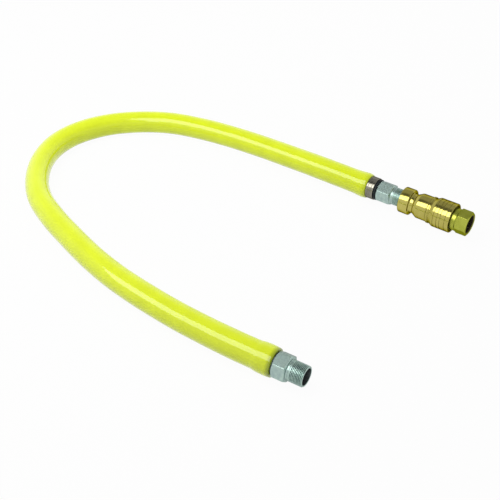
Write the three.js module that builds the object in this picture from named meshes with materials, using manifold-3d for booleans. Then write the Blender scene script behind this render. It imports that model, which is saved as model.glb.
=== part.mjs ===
// Flexible gas hose with a swivel end, a threaded outlet end and a quick-disconnect coupling.
// Millimetres, +Z up. The hose lies on the ground plane z = 0 in an open U.
// The coupling runs along +X. The origin is on the ground, midway between the two ends' fittings.

import * as THREE from 'three';
import { mergeVertices } from 'three/addons/utils/BufferGeometryUtils.js';
import Module from 'manifold-3d';

const wasm = await Module();
wasm.setup();

// Driving dimensions of the hose
const HOSE_DIAMETER = 35;
const JACKET_WALL = 3;
const BRAID_WALL = 0.9;
const TUBE_WALL = 2.7;
const END_STRETCH = 26;
const HOSE_SIDES = 10;
const HOSE_STEPS = 24;

// Clearances between pieces that touch or run in each other
const GAP = 0.3;
const AXIAL_PLAY = 0.5;

// Where the jacket ends, and which way each end points
const INLET_END_X = -66.4;
const INLET_END_Y = 184.55;
const OUTLET_END_X = 28.1;
const OUTLET_END_Y = -189.55;
const OUTLET_ANGLE = 4.5;
const OUTLET_LIFT = 1.2;

// Male taper thread of both steel nipples
const THREAD_RADIUS = 13.34;
const THREAD_TIP_RADIUS = 12.9;
const OUTLET_THREAD_LENGTH = 18.7;
const THREAD_NECK_RADIUS = 12.7;
const THREAD_NECK_LENGTH = 2.5;
const THREAD_CHAMFER = 1.1;

// Outlet end
const FERRULE_RIM = 1;
const OUTLET_SHANK_LENGTH = 13;
const OUTLET_SHANK_WALL = 1.7;
const OUTLET_HEX = 30.5;
const OUTLET_HEX_LENGTH = 17.5;
const OUTLET_HEX_TURN = -11.5;

// Inlet end, where the steel nipple turns in the collar
const COLLAR_RADIUS = 16.4;
const COLLAR_LENGTH = 11.7;
const COLLAR_CHAMFER = 0.6;
const SHANK_RADIUS = 11.6;
const SHANK_LENGTH = 25.5;
const INLET_BORE_RADIUS = 8.6;
const WIRE_RADIUS = 0.95;
const WIRE_FROM_RIM = 6;
const SWIVEL_SEAL_RADIUS = 0.65;
const SWIVEL_SEAL_SPACING = 4;
const DUST_RING_RADIUS = 15.4;
const DUST_RING_WIDTH = 4;
const INLET_HEX = 28.2;
const INLET_HEX_LENGTH = 21.9;
const INLET_HEX_TURN = 1.5;
const INLET_THREAD_LENGTH = 22;

// Brass plug of the coupling
const THREAD_ENGAGEMENT = 8.5;
const PLUG_COLLAR_RADIUS = 19;
const PLUG_COLLAR_LENGTH = 15;
const PLUG_CHAMFER = 1.4;
const PLUG_NECK_RADIUS = 14.4;
const PLUG_NECK_LENGTH = 6;
const PLUG_CONE_LENGTH = 7;
const PLUG_FLANGE_RADIUS = 18.4;
const PLUG_FLANGE_LENGTH = 15.5;
const PROBE_LENGTH = 19.4;
const PROBE_WALL = 5;

// Brass socket of the coupling
const BARREL_WALL = 3.1;
const BALL_RADIUS = 2.4;
const BALL_COUNT = 6;
const BALLS_FROM_FRONT = 9;
const RING_WIDTH = 1.4;
const RING_GROOVE_DEPTH = 0.7;
const SEAL_FROM_FRONT = 15;
const SEAL_RADIUS = 0.8;
const SEAT_LIP = 2.5;
const SPIGOT_LENGTH = 12.5;
const SPIGOT_WALL = 2;
const REAR_NECK_ROOM = 2.65;
const PORT_HEX = 31.6;
const PORT_HEX_LENGTH = 17.3;
const PORT_HEX_TURN = -22.2;
const PORT_BORE_RADIUS = 12.4;
const PORT_BORE_DEPTH = 15;
const PORT_CHAMFER = 1.4;

// Sliding lock sleeve
const SLEEVE_RADIUS = 21.4;
const SLEEVE_WALL = 2.75;
const SLEEVE_LENGTH = 36;
const SLEEVE_STROKE = 6.2;
const SLEEVE_BAND_STEP = 1.95;
const SLEEVE_BAND_LENGTH = 4.3;
const BAND_GROOVE_WIDTH = 1.2;
const BAND_GROOVE_DEPTH = 1;
const SLEEVE_BEVEL_LENGTH = 5.7;
const SLEEVE_LAND_LENGTH = 9.5;
const GRIP_GROOVE_DEPTH = 0.5;
const GRIP_GROOVE_WIDTH = 0.9;
const GRIP_GROOVES = [0.11, 0.33, 0.5, 0.78];

// Springs and shut-off valve
const SLEEVE_WIRE = 1.3;
const SLEEVE_COILS = 4;
const VALVE_WIRE = 1;
const VALVE_COILS = 4;
const VALVE_SPRING_RADIUS = 5.5;
const VALVE_TUBE_WALL = 0.9;
const VALVE_TRAVEL = 6.9;
const VALVE_RIM = 1.2;
const VALVE_SEAL_WIDTH = 1.2;
const VALVE_HEAD_WIDTH = 2;
const VALVE_STEM_RADIUS = 2;
const GUIDE_WIDTH = 2.2;
const GUIDE_HOLES = 5;
const GUIDE_HOLE_RADIUS = 2.9;

// Faceting
const ROUND_SIDES = 24;
const SMALL_SIDES = 20;
const SECTION_SIDES = 6;
const WIRE_SIDES = 6;
const WIRE_STEPS = 10;
const MERGE_DISTANCE = 1e-4;

const degrees = Math.PI / 180;

const materials = {
  jacket: finish(0xd2e52e, 0.35, 0),
  steel: finish(0xb9bcbb, 0.25, 1),
  zinc: finish(0x8a9c9a, 0.4, 0.9),
  brass: finish(0xb09a3f, 0.3, 1),
  rubber: finish(0x15191b, 0.7, 0),
  springSteel: finish(0x9a9da0, 0.3, 1),
};

function finish(color, roughness, metalness) {
  return new THREE.MeshStandardMaterial({ color, roughness, metalness });
}

// A closed mesh as a solid: shared corners merged, flat triangles dropped, faces turned outwards.
function asSolid(geometry) {
  const bare = geometry.clone();
  bare.deleteAttribute('normal');
  bare.deleteAttribute('uv');
  const merged = mergeVertices(bare, MERGE_DISTANCE);
  const corners = merged.attributes.position.array;
  const triangles = [];
  for (let i = 0; i < merged.index.count; i += 3) {
    const [a, b, c] = merged.index.array.slice(i, i + 3);
    if (a !== b && b !== c && c !== a) triangles.push(a, b, c);
  }
  if (signedVolume(corners, triangles) < 0) triangles.reverse();
  return new wasm.Manifold(new wasm.Mesh({
    numProp: 3,
    vertProperties: new Float32Array(corners),
    triVerts: new Uint32Array(triangles),
  }));
}

function signedVolume(corners, triangles) {
  const [a, b, c] = [new THREE.Vector3(), new THREE.Vector3(), new THREE.Vector3()];
  let sum = 0;
  for (let i = 0; i < triangles.length; i += 3) {
    a.fromArray(corners, 3 * triangles[i]);
    b.fromArray(corners, 3 * triangles[i + 1]);
    c.fromArray(corners, 3 * triangles[i + 2]);
    sum += a.dot(b.cross(c));
  }
  return sum;
}

function asMesh(name, solid, material) {
  const { vertProperties, triVerts } = solid.getMesh();
  const geometry = new THREE.BufferGeometry();
  geometry.setAttribute('position', new THREE.BufferAttribute(vertProperties, 3));
  geometry.setIndex(new THREE.BufferAttribute(triVerts, 1));
  geometry.computeVertexNormals();
  const mesh = new THREE.Mesh(geometry, material);
  mesh.name = name;
  return mesh;
}

// A turned piece: a closed outline of [x, radius] corners, revolved about the X axis.
function turned(outline, sides = ROUND_SIDES) {
  const points = [...outline, outline[0]].map(([x, radius]) => new THREE.Vector2(radius, x));
  return asSolid(new THREE.LatheGeometry(points, sides).rotateZ(-Math.PI / 2));
}

// A plain hollow cylinder along X.
function pipe(x0, x1, inner, outer, sides = ROUND_SIDES) {
  return turned([[x0, inner], [x0, outer], [x1, outer], [x1, inner]], sides);
}

// A ring of round wire or rubber about the X axis.
function roundRing(x, middle, thickness, sides = SMALL_SIDES) {
  const outline = [];
  for (let k = 0; k < SECTION_SIDES; k += 1) {
    const angle = (2 * Math.PI * k) / SECTION_SIDES;
    outline.push([x + thickness * Math.cos(angle), middle + thickness * Math.sin(angle)]);
  }
  return turned(outline, sides);
}

// The outline of a groove turned into a wall, from x0 to x1 along the wall.
function groove(x, halfWidth, wall, floor) {
  return [[x - halfWidth, wall], [x - halfWidth, floor], [x + halfWidth, floor], [x + halfWidth, wall]];
}

// A hexagon bar along X with both ends' corners turned off at 30 degrees, around a round hole.
function hexagon(x0, x1, acrossFlats, turn, hole) {
  const corner = acrossFlats / Math.sqrt(3);
  const flat = 0.97 * (acrossFlats / 2);
  const run = (corner - flat) * Math.tan(30 * degrees);
  const bar = new THREE.CylinderGeometry(corner, corner, x1 - x0, 6);
  bar.rotateZ(-Math.PI / 2).rotateX(turn * degrees).translate((x0 + x1) / 2, 0, 0);
  const turnedOff = turned([
    [x0, hole], [x0, flat], [x0 + run, corner], [x1 - run, corner], [x1, flat], [x1, hole],
  ]);
  return asSolid(bar).intersect(turnedOff);
}

// A steel nipple's outline from its hexagon to its threaded tip, ending at the bore.
function threadOutline(x, length, bore) {
  const start = x + THREAD_NECK_LENGTH;
  const tip = start + length;
  return [
    [x, THREAD_NECK_RADIUS],
    [start, THREAD_NECK_RADIUS],
    [start + THREAD_RADIUS - THREAD_NECK_RADIUS, THREAD_RADIUS],
    [tip - THREAD_CHAMFER, THREAD_TIP_RADIUS],
    [tip, THREAD_TIP_RADIUS - THREAD_CHAMFER],
    [tip, bore],
  ];
}

// A coil of wire about the X axis between two x values, flat section ends.
class Coil extends THREE.Curve {
  constructor(x0, x1, radius, coils) {
    super();
    Object.assign(this, { x0, x1, radius, coils });
  }

  getPoint(t) {
    const angle = 2 * Math.PI * this.coils * t;
    const x = this.x0 + (this.x1 - this.x0) * t;
    return new THREE.Vector3(x, this.radius * Math.cos(angle), this.radius * Math.sin(angle));
  }
}

function polygon(inradius, sides, Kind = THREE.Shape) {
  const corner = inradius / Math.cos(Math.PI / sides);
  const points = [];
  for (let k = 0; k < sides; k += 1) {
    const angle = (2 * Math.PI * (k + 0.5)) / sides;
    points.push(new THREE.Vector2(corner * Math.cos(angle), corner * Math.sin(angle)));
  }
  return new Kind(points);
}

function spring(x0, x1, middle, wire, coils) {
  const curve = new Coil(x0 + wire / 2, x1 - wire / 2, middle, coils);
  const section = polygon((wire / 2) * Math.cos(Math.PI / WIRE_SIDES), WIRE_SIDES);
  return asSolid(new THREE.ExtrudeGeometry(section, {
    extrudePath: curve, steps: coils * WIRE_STEPS, bevelEnabled: false,
  }));
}

// Sizes that follow from the driving dimensions
const hoseRadius = HOSE_DIAMETER / 2;
const jacketBore = hoseRadius - JACKET_WALL;
const braidRadius = jacketBore - GAP;
const braidBore = braidRadius - BRAID_WALL;
const tubeRadius = braidBore - GAP;
const tubeBore = tubeRadius - TUBE_WALL;
const fittingRadius = jacketBore - GAP;
const fittingStart = GAP - END_STRETCH;

const inletEnd = new THREE.Vector3(INLET_END_X, INLET_END_Y, SLEEVE_RADIUS);
const outletEnd = new THREE.Vector3(OUTLET_END_X, OUTLET_END_Y, hoseRadius + OUTLET_LIFT);
const outletWay = new THREE.Vector3(Math.cos(OUTLET_ANGLE * degrees), Math.sin(OUTLET_ANGLE * degrees), 0);

// The hose's way along the ground between its two straight ends: x, y and the underside's height.
const groundRun = [
  [-67, -195, 0.5],
  [-117, -195, 0],
  [-175, -192, 0],
  [-223, -187, 0],
  [-276, -177, 0],
  [-335, -161, 0],
  [-386, -145, 0],
  [-441, -121, 0],
  [-483, -88, 0],
  [-516, -45, 0],
  [-532, -1, 0],
  [-531, 43, 0],
  [-512, 89, 0],
  [-478, 127, 0],
  [-432, 157, 0],
  [-375, 174, 0],
  [-316, 183, 0],
  [-262, 187, 0],
  [-209, 187.5, 1],
  [-165, 186, 2.8],
];

function hoseLine() {
  const onGround = groundRun.map(([x, y, lift]) => new THREE.Vector3(x, y, hoseRadius + lift));
  const back = (end, way, distance) => end.clone().addScaledVector(way, -distance);
  const inletWay = new THREE.Vector3(1, 0, 0);
  const line = new THREE.CatmullRomCurve3([
    outletEnd, back(outletEnd, outletWay, END_STRETCH), back(outletEnd, outletWay, 2 * END_STRETCH),
    ...onGround,
    back(inletEnd, inletWay, 2 * END_STRETCH), back(inletEnd, inletWay, END_STRETCH), inletEnd,
  ], false, 'centripetal');
  line.arcLengthDivisions = 1500;
  return line;
}

// A stretch of the hose's line, with a section at each station given as a distance along it.
class Stretch extends THREE.Curve {
  constructor(line, stations) {
    super();
    Object.assign(this, { line, stations, length: line.getLength() });
  }

  station(u) {
    return this.stations[Math.round(u * (this.stations.length - 1))] / this.length;
  }

  getPointAt(u) {
    return this.line.getPointAt(this.station(u));
  }

  getTangentAt(u) {
    return this.line.getTangentAt(this.station(u));
  }
}

function layer(line, stations, outer, inner) {
  const section = polygon(outer, HOSE_SIDES);
  section.holes.push(polygon(inner, HOSE_SIDES, THREE.Path));
  return asSolid(new THREE.ExtrudeGeometry(section, {
    extrudePath: new Stretch(line, stations), steps: stations.length - 1, bevelEnabled: false,
  }));
}

// The jacket covers both end fittings; the braid and the gas tube end against them.
function hose() {
  const line = hoseLine();
  const length = line.getLength();
  const run = length - 2 * END_STRETCH;
  const inside = [];
  for (let k = 0; k <= HOSE_STEPS; k += 1) inside.push(END_STRETCH + (run * k) / HOSE_STEPS);
  const jacket = layer(line, [0, ...inside, length], hoseRadius, jacketBore);
  const group = new THREE.Group();
  group.add(asMesh('hose_jacket', jacket, materials.jacket));
  group.add(asMesh('hose_braid', layer(line, inside, braidRadius, braidBore), materials.steel));
  group.add(asMesh('hose_tube', layer(line, inside, tubeRadius, tubeBore), materials.steel));
  return group;
}

// Outlet end: x is measured along its own axis from where the jacket ends.
function outletFittings() {
  const shankRadius = tubeBore + OUTLET_SHANK_WALL;
  const rim = FERRULE_RIM;
  const hexStart = rim + GAP;
  const shankStart = hexStart - OUTLET_SHANK_LENGTH;
  const hexEnd = hexStart + OUTLET_HEX_LENGTH;

  const ferrule = turned([
    [fittingStart, tubeBore],
    [fittingStart, fittingRadius],
    [rim, fittingRadius],
    [rim, shankRadius + GAP],
    [shankStart - GAP, shankRadius + GAP],
    [shankStart - GAP, tubeBore],
  ]);
  const core = turned([
    [shankStart, tubeBore],
    [shankStart, shankRadius],
    [hexStart, shankRadius],
    [hexStart, THREAD_NECK_RADIUS],
    ...threadOutline(hexEnd, OUTLET_THREAD_LENGTH, tubeBore),
  ]);
  const nipple = core.add(hexagon(hexStart, hexEnd, OUTLET_HEX, OUTLET_HEX_TURN, tubeBore));

  const group = new THREE.Group();
  group.add(asMesh('ferrule_outlet', ferrule, materials.steel));
  group.add(asMesh('nipple_outlet', nipple, materials.zinc));
  group.position.copy(outletEnd);
  group.rotation.z = OUTLET_ANGLE * degrees;
  return group;
}

// Inlet end and coupling: x is measured along the coupling's axis from where the jacket ends.
const collarEnd = GAP + COLLAR_LENGTH;
const inletHexStart = collarEnd + DUST_RING_WIDTH + 2 * GAP;
const inletHexEnd = inletHexStart + INLET_HEX_LENGTH;
const inletTip = inletHexEnd + THREAD_NECK_LENGTH + INLET_THREAD_LENGTH;
const shankStart = inletHexStart - SHANK_LENGTH;
const wireX = collarEnd - WIRE_FROM_RIM;
const wireMiddle = SHANK_RADIUS + GAP / 2;
const wireHalf = WIRE_RADIUS + GAP;
const swivelSealMiddle = SHANK_RADIUS - SWIVEL_SEAL_RADIUS;
const swivelSealHalf = SWIVEL_SEAL_RADIUS + GAP;
const swivelSeals = [wireX - 2 * SWIVEL_SEAL_SPACING, wireX - 3 * SWIVEL_SEAL_SPACING];

function collar() {
  const bore = SHANK_RADIUS + GAP;
  return turned([
    [fittingStart, tubeBore],
    [fittingStart, fittingRadius],
    [GAP, fittingRadius],
    [GAP, COLLAR_RADIUS - COLLAR_CHAMFER],
    [GAP + COLLAR_CHAMFER, COLLAR_RADIUS],
    [collarEnd - COLLAR_CHAMFER, COLLAR_RADIUS],
    [collarEnd, COLLAR_RADIUS - COLLAR_CHAMFER],
    [collarEnd, bore],
    ...groove(wireX, wireHalf, bore, wireMiddle + wireHalf).reverse(),
    [shankStart - GAP, bore],
    [shankStart - GAP, tubeBore],
  ]);
}

function inletNipple() {
  const sealFloor = swivelSealMiddle - swivelSealHalf;
  const core = turned([
    [shankStart, INLET_BORE_RADIUS],
    [shankStart, SHANK_RADIUS],
    ...groove(swivelSeals[1], swivelSealHalf, SHANK_RADIUS, sealFloor),
    ...groove(swivelSeals[0], swivelSealHalf, SHANK_RADIUS, sealFloor),
    ...groove(wireX, wireHalf, SHANK_RADIUS, wireMiddle - wireHalf),
    [inletHexStart, SHANK_RADIUS],
    ...threadOutline(inletHexEnd, INLET_THREAD_LENGTH, INLET_BORE_RADIUS),
  ]);
  return core.add(hexagon(inletHexStart, inletHexEnd, INLET_HEX, INLET_HEX_TURN, INLET_BORE_RADIUS));
}

function inletFittings() {
  const [ringStart, ringEnd] = [collarEnd + GAP, inletHexStart - GAP];
  const dustRing = pipe(ringStart, ringEnd, SHANK_RADIUS + GAP, DUST_RING_RADIUS, SMALL_SIDES);
  const group = new THREE.Group();
  group.add(asMesh('collar_inlet', collar(), materials.steel));
  group.add(asMesh('swivel_wire', roundRing(wireX, wireMiddle, WIRE_RADIUS), materials.springSteel));
  swivelSeals.forEach((x, k) => {
    const seal = roundRing(x, swivelSealMiddle, SWIVEL_SEAL_RADIUS);
    group.add(asMesh(`swivel_seal_${k + 1}`, seal, materials.rubber));
  });
  group.add(asMesh('dust_ring', dustRing, materials.rubber));
  group.add(asMesh('nipple_inlet', inletNipple(), materials.zinc));
  return group;
}

// Radii of the sleeve, its spring, the barrel and the probe, each from the one around it
const hollowRadius = SLEEVE_RADIUS - SLEEVE_WALL;
const coilMiddle = hollowRadius - 2 * GAP - SLEEVE_WIRE / 2;
const barrelRadius = coilMiddle * Math.cos(Math.PI / WIRE_STEPS) - SLEEVE_WIRE / 2 - GAP;
const barrelBore = barrelRadius - BARREL_WALL;
const probeRadius = barrelBore - GAP;
const plugBoreRadius = probeRadius - PROBE_WALL;
const rearNeckRadius = hollowRadius - REAR_NECK_ROOM;

// Plug: screwed onto the inlet nipple, its probe held in the socket by the balls.
const plugStart = inletTip - THREAD_ENGAGEMENT;
const plugCollarEnd = plugStart + PLUG_COLLAR_LENGTH;
const coneStart = plugCollarEnd + PLUG_NECK_LENGTH;
const flangeStart = coneStart + PLUG_CONE_LENGTH;
const flangeEnd = flangeStart + PLUG_FLANGE_LENGTH;
const probeEnd = flangeEnd + PROBE_LENGTH;
const socketStart = flangeEnd + AXIAL_PLAY;
const ballX = socketStart + BALLS_FROM_FRONT;
const ballCircle = barrelRadius - BALL_RADIUS;

function plug() {
  const threadBore = THREAD_RADIUS + GAP;
  const seatX = inletTip + GAP;
  const grooveFloor = ballCircle - BALL_RADIUS - GAP;
  return turned([
    [plugStart, threadBore],
    [plugStart, PLUG_COLLAR_RADIUS - PLUG_CHAMFER],
    [plugStart + PLUG_CHAMFER, PLUG_COLLAR_RADIUS],
    [plugCollarEnd - PLUG_CHAMFER, PLUG_COLLAR_RADIUS],
    [plugCollarEnd, PLUG_COLLAR_RADIUS - PLUG_CHAMFER],
    [plugCollarEnd, PLUG_NECK_RADIUS],
    [coneStart, PLUG_NECK_RADIUS],
    [flangeStart, PLUG_FLANGE_RADIUS],
    [flangeEnd, PLUG_FLANGE_RADIUS],
    [flangeEnd, probeRadius],
    [ballX - BALL_RADIUS - AXIAL_PLAY, probeRadius],
    [ballX - BALL_RADIUS / 2, grooveFloor],
    [ballX + BALL_RADIUS / 2, grooveFloor],
    [ballX + BALL_RADIUS + AXIAL_PLAY, probeRadius],
    [probeEnd - PLUG_CHAMFER, probeRadius],
    [probeEnd, probeRadius - PLUG_CHAMFER],
    [probeEnd, plugBoreRadius],
    [seatX, plugBoreRadius],
    [seatX, THREAD_TIP_RADIUS + GAP],
  ]);
}

// Socket: a barrel with the locking balls, and the port piece screwed into its back.
const sealX = socketStart + SEAL_FROM_FRONT;
const seatX = probeEnd + AXIAL_PLAY;
const seatEnd = seatX + SEAT_LIP;
const valveTubeRadius = plugBoreRadius + GAP + VALVE_TUBE_WALL;
const seatBore = valveTubeRadius + GAP;
const spigotStart = seatEnd + GAP;
const barrelEnd = spigotStart + SPIGOT_LENGTH;
const spigotBoreRadius = barrelRadius - BARREL_WALL / 2 - GAP / 2;
const spigotRadius = spigotBoreRadius - GAP;
const chamberRadius = spigotRadius - SPIGOT_WALL;
const ringFloor = barrelRadius - RING_GROOVE_DEPTH;
const sleeveEnd = socketStart + SLEEVE_LENGTH;
const portHexStart = sleeveEnd + SLEEVE_STROKE + AXIAL_PLAY;
const portEnd = portHexStart + PORT_HEX_LENGTH;
const guideX = portEnd - PORT_BORE_DEPTH;

// The sleeve's stop ring sits in front of the balls, the spring's seat near the barrel's back.
const landStart = ballX - BALL_RADIUS - AXIAL_PLAY - 2 * GAP;
const stopRingX = landStart - GAP - RING_WIDTH;
const landEnd = landStart + SLEEVE_LAND_LENGTH;
const springSeatX = barrelEnd - 2 * GAP - 2 * RING_WIDTH;
const releaseRadius = probeRadius + 2 * GAP + 2 * BALL_RADIUS;

function barrel() {
  const ringHalf = RING_WIDTH / 2;
  const ringGroove = (x) => groove(x + ringHalf, ringHalf + GAP / 3, barrelRadius, ringFloor - GAP);
  const sealHalf = SEAL_RADIUS + GAP;
  const shell = turned([
    [socketStart, barrelBore + GAP],
    [socketStart, barrelRadius],
    ...ringGroove(stopRingX),
    ...ringGroove(springSeatX),
    [barrelEnd, barrelRadius],
    [barrelEnd, spigotBoreRadius],
    [seatEnd, spigotBoreRadius],
    [seatEnd, seatBore],
    [seatX, seatBore],
    [seatX, barrelBore],
    ...groove(sealX, sealHalf, barrelBore, probeRadius + 2 * SEAL_RADIUS + 2 * GAP).reverse(),
    [socketStart + GAP, barrelBore],
  ]);
  return ballPlaces().reduce((solid, angle) => solid.subtract(ballHole(angle)), shell);
}

function ballPlaces() {
  return Array.from({ length: BALL_COUNT }, (_, k) => (2 * Math.PI * (k + 0.5)) / BALL_COUNT);
}

function ballHole(angle) {
  const radius = BALL_RADIUS + GAP;
  const drill = new THREE.CylinderGeometry(radius, radius, 2 * BARREL_WALL, 12);
  return asSolid(drill.translate(0, ballCircle, 0).rotateX(angle).translate(ballX, 0, 0));
}

function lockBall(angle) {
  const ball = new THREE.IcosahedronGeometry(BALL_RADIUS, 1);
  return asSolid(ball.translate(0, ballCircle, 0).rotateX(angle).translate(ballX, 0, 0));
}

function port() {
  const neckStart = barrelEnd + GAP;
  const core = turned([
    [spigotStart, chamberRadius],
    [spigotStart, spigotRadius],
    [neckStart, spigotRadius],
    [neckStart, rearNeckRadius],
    [portHexStart + PORT_CHAMFER, rearNeckRadius],
    [portHexStart + PORT_CHAMFER, PORT_BORE_RADIUS + PORT_CHAMFER],
    [portEnd - PORT_CHAMFER, PORT_BORE_RADIUS + PORT_CHAMFER],
    [portEnd - PORT_CHAMFER, PORT_BORE_RADIUS],
    [guideX, PORT_BORE_RADIUS],
    [guideX, chamberRadius],
  ]);
  const mouth = turned([
    [portEnd - PORT_CHAMFER, 0],
    [portEnd - PORT_CHAMFER, PORT_BORE_RADIUS],
    [portEnd + PORT_CHAMFER, PORT_BORE_RADIUS + 2 * PORT_CHAMFER],
    [portEnd + PORT_CHAMFER, 0],
  ]);
  const hex = hexagon(portHexStart, portEnd, PORT_HEX, PORT_HEX_TURN, PORT_BORE_RADIUS);
  return core.add(hex).subtract(mouth);
}

function sleeve() {
  const bandEnd = socketStart + SLEEVE_BAND_LENGTH;
  const bandRadius = SLEEVE_RADIUS - SLEEVE_BAND_STEP;
  const mainStart = bandEnd + SLEEVE_BEVEL_LENGTH;
  const chamfer = AXIAL_PLAY;
  const gripRun = sleeveEnd - mainStart;
  const grip = GRIP_GROOVES.flatMap((share) => groove(
    mainStart + share * gripRun, GRIP_GROOVE_WIDTH / 2, SLEEVE_RADIUS, SLEEVE_RADIUS - GRIP_GROOVE_DEPTH,
  ));
  const rear = 2 * chamfer;
  return turned([
    [socketStart, releaseRadius],
    [socketStart, bandRadius - chamfer],
    [socketStart + chamfer, bandRadius],
    [bandEnd - BAND_GROOVE_WIDTH, bandRadius],
    [bandEnd - BAND_GROOVE_WIDTH, bandRadius - BAND_GROOVE_DEPTH],
    [bandEnd, bandRadius - BAND_GROOVE_DEPTH],
    [mainStart, SLEEVE_RADIUS],
    ...grip.filter(([x]) => x < sleeveEnd - rear),
    [sleeveEnd - rear, SLEEVE_RADIUS],
    [sleeveEnd, SLEEVE_RADIUS - rear],
    [sleeveEnd, hollowRadius],
    [landEnd, hollowRadius],
    [landEnd, barrelRadius + GAP],
    [landStart, barrelRadius + GAP],
    [landStart, releaseRadius],
  ]);
}

function socketFittings() {
  const group = new THREE.Group();
  group.add(asMesh('socket_barrel', barrel(), materials.brass));
  group.add(asMesh('port_piece', port(), materials.brass));
  ballPlaces().forEach((angle, k) => {
    group.add(asMesh(`lock_ball_${k + 1}`, lockBall(angle), materials.springSteel));
  });
  const plugSeal = roundRing(sealX, probeRadius + GAP + SEAL_RADIUS, SEAL_RADIUS);
  const stopRing = pipe(stopRingX, stopRingX + RING_WIDTH, ringFloor, releaseRadius - GAP, SMALL_SIDES);
  const seatOuter = hollowRadius - GAP;
  const springSeat = pipe(springSeatX, springSeatX + RING_WIDTH, ringFloor, seatOuter, SMALL_SIDES);
  group.add(asMesh('plug_seal', plugSeal, materials.rubber));
  group.add(asMesh('stop_ring', stopRing, materials.springSteel));
  group.add(asMesh('spring_seat', springSeat, materials.springSteel));
  const sleeveSpring = spring(landEnd + GAP, springSeatX - GAP, coilMiddle, SLEEVE_WIRE, SLEEVE_COILS);
  group.add(asMesh('lock_sleeve', sleeve(), materials.brass));
  group.add(asMesh('sleeve_spring', sleeveSpring, materials.springSteel));
  return group;
}

// Shut-off valve behind the seat, held open by the plug's tip while the coupling is joined.
const valveFront = probeEnd + GAP;
const headX = seatEnd + GAP + VALVE_TRAVEL;
const headEnd = headX + VALVE_HEAD_WIDTH;
const headRadius = seatBore + VALVE_RIM;

function poppet() {
  const inner = valveTubeRadius - VALVE_TUBE_WALL;
  const body = turned([
    [valveFront, inner],
    [valveFront, valveTubeRadius],
    [headX, valveTubeRadius],
    [headX, headRadius],
    [headEnd, headRadius],
    [headEnd, VALVE_STEM_RADIUS],
    [guideX + GUIDE_WIDTH + GAP, VALVE_STEM_RADIUS],
    [guideX + GUIDE_WIDTH + GAP, 0],
    [headX, 0],
    [headX, inner],
  ], SMALL_SIDES);
  const windowStart = valveFront + 1.5 * VALVE_HEAD_WIDTH;
  const windowEnd = headX - VALVE_SEAL_WIDTH - 2 * GAP;
  const windows = [0, 1, 2].map((k) => {
    const box = new THREE.BoxGeometry(windowEnd - windowStart, 2 * valveTubeRadius, valveTubeRadius);
    box.translate((windowStart + windowEnd) / 2, valveTubeRadius, 0);
    return asSolid(box.rotateX((2 * Math.PI * k) / 3));
  });
  return windows.reduce((solid, window) => solid.subtract(window), body);
}

function valveGuide() {
  const radius = PORT_BORE_RADIUS - GAP;
  const disc = new THREE.Shape().absarc(0, 0, radius, 0, 2 * Math.PI);
  disc.holes.push(new THREE.Path().absarc(0, 0, VALVE_STEM_RADIUS + GAP, 0, 2 * Math.PI, true));
  for (let k = 0; k < GUIDE_HOLES; k += 1) {
    const angle = (2 * Math.PI * k) / GUIDE_HOLES;
    const [x, y] = [radius * 0.6 * Math.cos(angle), radius * 0.6 * Math.sin(angle)];
    disc.holes.push(new THREE.Path().absarc(x, y, GUIDE_HOLE_RADIUS, 0, 2 * Math.PI, true));
  }
  const plate = new THREE.ExtrudeGeometry(disc, { depth: GUIDE_WIDTH, bevelEnabled: false, curveSegments: 8 });
  return asSolid(plate.rotateY(Math.PI / 2).translate(guideX + GAP, 0, 0));
}

function valveFittings() {
  const group = new THREE.Group();
  const sealEnd = headX - GAP;
  const seal = pipe(sealEnd - VALVE_SEAL_WIDTH, sealEnd, valveTubeRadius + GAP, headRadius, SMALL_SIDES);
  const coil = spring(headEnd + GAP, guideX, VALVE_SPRING_RADIUS, VALVE_WIRE, VALVE_COILS);
  group.add(asMesh('valve_poppet', poppet(), materials.brass));
  group.add(asMesh('valve_seal', seal, materials.rubber));
  group.add(asMesh('valve_spring', coil, materials.springSteel));
  group.add(asMesh('valve_guide', valveGuide(), materials.brass));
  return group;
}

const coupling = new THREE.Group();
coupling.add(inletFittings());
coupling.add(asMesh('plug_body', plug(), materials.brass));
coupling.add(socketFittings());
coupling.add(valveFittings());
coupling.position.copy(inletEnd);

const gasHose = new THREE.Group();
gasHose.add(hose());
gasHose.add(outletFittings());
gasHose.add(coupling);

export default gasHose;
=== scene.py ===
"""Looks of the flexible gas hose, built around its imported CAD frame. Metres, +Z up."""

import logging
import math
from collections.abc import Callable, Sequence
from dataclasses import dataclass, field
from enum import Enum

import bmesh
import bpy
from mathutils import Matrix, Vector


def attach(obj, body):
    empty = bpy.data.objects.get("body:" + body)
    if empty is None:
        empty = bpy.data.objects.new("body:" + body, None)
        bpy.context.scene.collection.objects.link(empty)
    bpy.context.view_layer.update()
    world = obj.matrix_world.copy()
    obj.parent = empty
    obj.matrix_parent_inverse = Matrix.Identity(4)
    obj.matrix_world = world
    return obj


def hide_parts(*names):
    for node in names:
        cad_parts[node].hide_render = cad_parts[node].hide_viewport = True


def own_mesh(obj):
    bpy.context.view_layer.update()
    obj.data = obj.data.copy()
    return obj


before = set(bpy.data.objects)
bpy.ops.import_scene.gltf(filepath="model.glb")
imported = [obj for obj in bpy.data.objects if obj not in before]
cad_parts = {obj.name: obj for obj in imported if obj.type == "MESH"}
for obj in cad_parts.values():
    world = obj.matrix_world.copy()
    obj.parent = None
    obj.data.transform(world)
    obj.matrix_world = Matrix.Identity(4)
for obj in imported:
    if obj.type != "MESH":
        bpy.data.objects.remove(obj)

LOG = logging.getLogger("gas_hose")
MM = 0.001  # a millimetre in metres
GAP = 0.3  # the clearance of turning parts, in millimetres
MERGE = 0.001  # corners nearer than this are one
TURN_STEPS = 96
PITCH = 25.4 / 14  # of the pipe threads, in millimetres
CHAMFER_SLOPE = math.tan(math.radians(30))
CREASE = 30.0  # degrees between faces past which an edge stays sharp
WHITE = (1.0, 1.0, 1.0, 1.0)

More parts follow.
